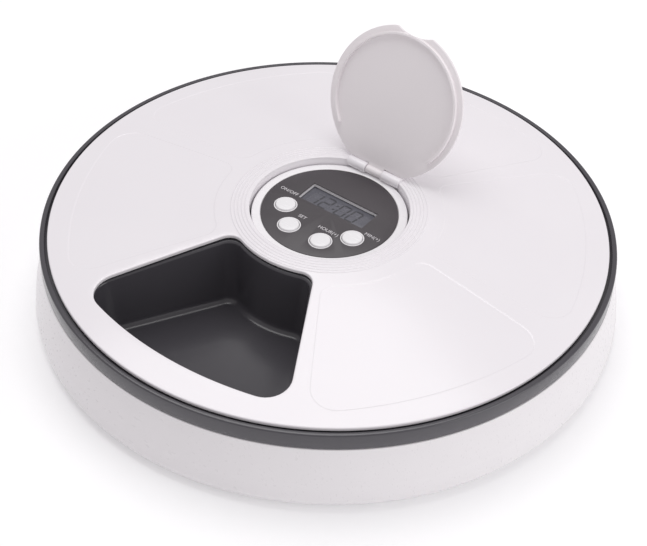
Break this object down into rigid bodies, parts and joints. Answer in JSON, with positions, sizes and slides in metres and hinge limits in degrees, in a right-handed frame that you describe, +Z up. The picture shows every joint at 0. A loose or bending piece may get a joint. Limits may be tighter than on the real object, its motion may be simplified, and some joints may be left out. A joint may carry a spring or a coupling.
{
  "type": "automatic pet feeder",
  "caption": "Round countertop pet feeder: a motor-turned tray of food pockets under a domed cover with one serving window, and a timer panel under a flip-up lid in the middle.",
  "frame": {"origin": "on the floor under the feeder's centre", "axes": "+Z up, -Y towards the serving window, +Y towards the lid's hinge"},
  "size_m": [0.324, 0.324, 0.1357],
  "materials": {
    "white_abs": "satin moulded",
    "dark_abs": "satin moulded",
    "panel_print": "screen-printed film",
    "foot_rubber": "matte",
    "steel": "plated",
    "brass": "machined",
    "gear_acetal": "natural acetal",
    "cell_sleeve": "shrink sleeve",
    "circuit_board": "solder mask",
    "display_glass": "polished",
    "switch_black": "moulded"
  },
  "bodies": {
    "base": {"base_shell": "white_abs", "battery_cell_1": "cell_sleeve", "battery_cell_2": "cell_sleeve", "battery_cell_3": "cell_sleeve", "battery_cell_4": "cell_sleeve", "board_screw_1": "steel", "board_screw_2": "steel", "board_screw_3": "steel", "circuit_board": "circuit_board", "contact_plate_1": "steel", "contact_plate_2": "steel", "contact_plate_3": "steel", "contact_plate_4": "steel", "contact_plate_5": "steel", "contact_spring_1": "steel", "contact_spring_2": "steel", "contact_spring_3": "steel", "contact_spring_4": "steel", "control_housing": "white_abs", "display": "display_glass", "drive_gear_pin": "steel", "gear_plate": "gear_acetal", "housing_screw_1": "steel", "housing_screw_2": "steel", "housing_screw_3": "steel", "motor": "steel", "panel_overlay": "panel_print", "reduction_gear_pin": "steel", "roller_pin_1": "steel", "roller_pin_2": "steel", "roller_pin_3": "steel", "rubber_foot_1": "foot_rubber", "rubber_foot_2": "foot_rubber", "rubber_foot_3": "foot_rubber", "rubber_foot_4": "foot_rubber", "switch_hour": "switch_black", "switch_minute": "switch_black", "switch_power": "switch_black", "switch_set": "switch_black"},
    "turntable": {"turntable": "gear_acetal"},
    "tray": {"tray": "dark_abs"},
    "cover": {"cover": "white_abs", "hinge_pin": "steel"},
    "lid": {"lid": "white_abs"},
    "battery_door": {"battery_door": "white_abs"},
    "drive_gear": {"drive_gear": "gear_acetal"},
    "reduction_gear": {"reduction_gear": "gear_acetal"},
    "motor_pinion": {"motor_pinion": "brass"},
    "roller_1": {"tray_roller_1": "gear_acetal"},
    "roller_2": {"tray_roller_2": "gear_acetal"},
    "roller_3": {"tray_roller_3": "gear_acetal"},
    "button_power": {"button_power": "white_abs"},
    "button_set": {"button_set": "white_abs"},
    "button_hour": {"button_hour": "white_abs"},
    "button_minute": {"button_minute": "white_abs"}
  },
  "joints": [
    {"name": "turntable_spin", "type": "hinge", "parent": "base", "child": "turntable", "pos_m": [0, 0, 0.03], "axis": [0, 0, 1], "continuous": true},
    {"name": "drive_gear_spin", "type": "hinge", "parent": "base", "child": "drive_gear", "pos_m": [-0.03875, 0, 0.0275], "axis": [0, 0, 1], "continuous": true},
    {"name": "reduction_gear_spin", "type": "hinge", "parent": "base", "child": "reduction_gear", "pos_m": [-0.0225, 0, 0.03], "axis": [0, 0, 1], "continuous": true},
    {"name": "motor_pinion_spin", "type": "hinge", "parent": "base", "child": "motor_pinion", "pos_m": [-0.0001, 0, 0.037], "axis": [0, 0, 1], "continuous": true},
    {"name": "roller_1_spin", "type": "hinge", "parent": "base", "child": "roller_1", "pos_m": [0, 0.13, 0.01], "axis": [0, 1, 0], "continuous": true},
    {"name": "roller_2_spin", "type": "hinge", "parent": "base", "child": "roller_2", "pos_m": [-0.11258, -0.065, 0.01], "axis": [-0.866, -0.5, 0], "continuous": true},
    {"name": "roller_3_spin", "type": "hinge", "parent": "base", "child": "roller_3", "pos_m": [0.11258, -0.065, 0.01], "axis": [0.866, -0.5, 0], "continuous": true},
    {"name": "cover_lift", "type": "slide", "parent": "base", "child": "cover", "axis": [0, 0, 1], "range_m": [0, 0.16]},
    {"name": "tray_lift", "type": "slide", "parent": "turntable", "child": "tray", "axis": [0, 0, 1], "range_m": [0, 0.08]},
    {"name": "lid_hinge", "type": "hinge", "parent": "cover", "child": "lid", "pos_m": [0, 0.0415, 0.05975], "axis": [1, 0, 0], "range_deg": [0, 112]},
    {"name": "battery_door_hinge", "type": "hinge", "parent": "base", "child": "battery_door", "pos_m": [0, -0.0262, 0.0035], "axis": [-1, 0, 0], "range_deg": [0, 90]},
    {"name": "power_press", "type": "slide", "parent": "base", "child": "button_power", "axis": [0, 0, -1], "range_m": [0, 0.001], "stiffness_N_per_m": 400, "springref_m": -0.001},
    {"name": "set_press", "type": "slide", "parent": "base", "child": "button_set", "axis": [0, 0, -1], "range_m": [0, 0.001], "stiffness_N_per_m": 400, "springref_m": -0.001},
    {"name": "hour_press", "type": "slide", "parent": "base", "child": "button_hour", "axis": [0, 0, -1], "range_m": [0, 0.001], "stiffness_N_per_m": 400, "springref_m": -0.001},
    {"name": "minute_press", "type": "slide", "parent": "base", "child": "button_minute", "axis": [0, 0, -1], "range_m": [0, 0.001], "stiffness_N_per_m": 400, "springref_m": -0.001}
  ],
  "couplings": [
    {"joint": "drive_gear_spin", "follows": "turntable_spin", "ratio": 4.875},
    {"joint": "reduction_gear_spin", "follows": "turntable_spin", "ratio": -7.8},
    {"joint": "motor_pinion_spin", "follows": "turntable_spin", "ratio": 35.88},
    {"joint": "roller_1_spin", "follows": "turntable_spin", "ratio": -28.889},
    {"joint": "roller_2_spin", "follows": "turntable_spin", "ratio": -28.889},
    {"joint": "roller_3_spin", "follows": "turntable_spin", "ratio": -28.889},
    {"joint": "tray_lift", "follows": "cover_lift", "ratio": 0.5}
  ]
}
